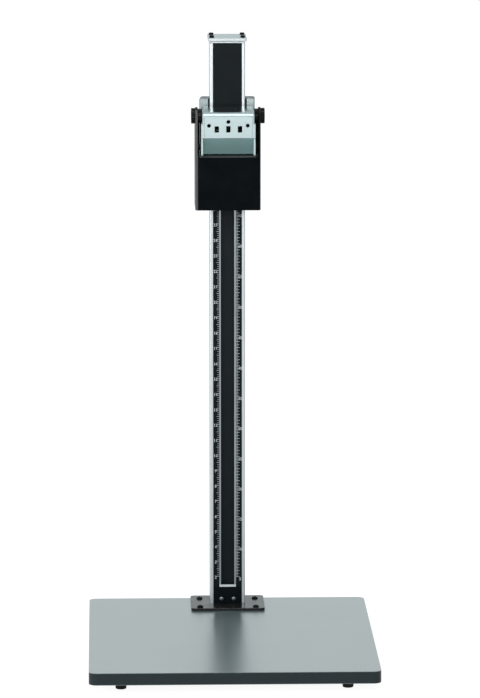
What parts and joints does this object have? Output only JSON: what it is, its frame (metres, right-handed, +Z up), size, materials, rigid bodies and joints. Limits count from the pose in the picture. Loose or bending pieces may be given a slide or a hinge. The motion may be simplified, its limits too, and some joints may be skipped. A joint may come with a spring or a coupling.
{
  "type": "copy stand",
  "caption": "Copy stand: a laminated baseboard on rubber feet, a square column with inch and centimetre scales, and a rolling, lockable carriage with a tilting camera head.",
  "frame": {"origin": "on the floor under the middle of the whole stand's box", "axes": "+Z up, +X to the right as the front is seen, the front with its scale and camera plate faces -Y"},
  "size_m": [0.453, 0.545, 0.9722],
  "materials": {
    "core": "matt",
    "laminate": "satin",
    "rubber": "matt",
    "black_metal": "semi-gloss",
    "anodised": "satin anodised",
    "polished": "polished",
    "head_silver": "satin",
    "panel_black": "satin",
    "black_plastic": "satin",
    "nylon": "satin",
    "steel": "plain"
  },
  "bodies": {
    "stand": {"baseboard": "core", "edge_band": "laminate", "top_laminate": "laminate", "bottom_laminate": "laminate", "rubber_feet": "rubber", "foot_screws": "steel", "foot_flange": "black_metal", "flange_bolts": "black_metal", "flange_nuts": "steel", "column": "anodised", "column_screws": "steel", "column_block": "anodised", "front_screws": "polished", "lower_panel": "panel_black", "scale_left": "panel_black", "scale_right": "panel_black", "channel_frame": "polished", "channel_liner": "panel_black", "upper_panel": "panel_black", "top_cap": "anodised", "cap_screws": "black_metal", "drum_bracket": "steel", "drum_axle": "steel", "spring_tape": "steel"},
    "drum": {"spring_drum": "steel", "spring_coil": "steel"},
    "carriage": {"tape_anchor": "anodised", "anchor_clamp": "steel", "anchor_screws": "black_metal", "carriage_body": "anodised", "wiper_plate": "black_plastic", "side_glides": "nylon", "front_axles": "steel", "rear_axles": "steel", "housing_cover": "black_metal", "housing_floor": "black_metal", "cover_spacers": "black_plastic", "cover_screws": "black_metal", "pivot_spacers": "black_plastic", "lock_boss": "anodised"},
    "front_roller_upper": {"front_roller_upper": "nylon"},
    "front_roller_lower": {"front_roller_lower": "nylon"},
    "rear_roller_upper": {"rear_roller_upper": "nylon"},
    "rear_roller_lower": {"rear_roller_lower": "nylon"},
    "camera_head": {"head_plate": "head_silver", "head_cheeks": "head_silver", "pivot_nuts": "steel"},
    "tilt_lock_left": {"tilt_knob_left": "black_plastic", "tilt_stud_left": "steel"},
    "tilt_lock_right": {"tilt_knob_right": "black_plastic", "tilt_stud_right": "steel"},
    "brake": {"brake_shoe": "steel", "brake_pad": "rubber"},
    "height_lock": {"lock_knob": "black_plastic", "lock_stud": "steel"}
  },
  "joints": [
    {"name": "carriage_slide", "type": "slide", "parent": "stand", "child": "carriage", "axis": [0, 0, 1], "range_m": [-0.635, 0.08], "deforming": ["spring_tape"]},
    {"name": "head_tilt", "type": "hinge", "parent": "carriage", "child": "camera_head", "pos_m": [0, 0.14545, 0.8464], "axis": [-1, 0, 0], "range_deg": [0, 90]},
    {"name": "tilt_knob_left_turn", "type": "hinge", "parent": "carriage", "child": "tilt_lock_left", "pos_m": [-0.055, 0.14545, 0.8464], "axis": [-1, 0, 0], "range_deg": [0, 360]},
    {"name": "tilt_knob_right_turn", "type": "hinge", "parent": "carriage", "child": "tilt_lock_right", "pos_m": [0.055, 0.14545, 0.8464], "axis": [1, 0, 0], "range_deg": [0, 360]},
    {"name": "brake_slide", "type": "slide", "parent": "carriage", "child": "brake", "axis": [0, 1, 0], "range_m": [0, 0.00187]},
    {"name": "lock_knob_turn", "type": "hinge", "parent": "brake", "child": "height_lock", "pos_m": [0, 0.26545, 0.7849], "axis": [0, 1, 0], "range_deg": [0, 545]},
    {"name": "front_roller_upper_spin", "type": "hinge", "parent": "carriage", "child": "front_roller_upper", "pos_m": [0, 0.15765, 0.8129], "axis": [1, 0, 0], "range_deg": [-700, 5000]},
    {"name": "front_roller_lower_spin", "type": "hinge", "parent": "carriage", "child": "front_roller_lower", "pos_m": [0, 0.15765, 0.7199], "axis": [1, 0, 0], "range_deg": [-700, 5000]},
    {"name": "rear_roller_upper_spin", "type": "hinge", "parent": "carriage", "child": "rear_roller_upper", "pos_m": [0, 0.23325, 0.8449], "axis": [1, 0, 0], "range_deg": [-5000, 700]},
    {"name": "rear_roller_lower_spin", "type": "hinge", "parent": "carriage", "child": "rear_roller_lower", "pos_m": [0, 0.23325, 0.7199], "axis": [1, 0, 0], "range_deg": [-5000, 700]},
    {"name": "drum_spin", "type": "hinge", "parent": "stand", "child": "drum", "pos_m": [0, 0.19475, 0.9206], "axis": [1, 0, 0], "range_deg": [-300, 1900]}
  ],
  "couplings": [
    {"joint": "lock_knob_turn", "follows": "brake_slide", "rad_per_m": 5026.5},
    {"joint": "front_roller_upper_spin", "follows": "carriage_slide", "rad_per_m": -133.33},
    {"joint": "front_roller_lower_spin", "follows": "carriage_slide", "rad_per_m": -133.33},
    {"joint": "rear_roller_upper_spin", "follows": "carriage_slide", "rad_per_m": 133.33},
    {"joint": "rear_roller_lower_spin", "follows": "carriage_slide", "rad_per_m": 133.33},
    {"joint": "drum_spin", "follows": "carriage_slide", "rad_per_m": -50}
  ]
}
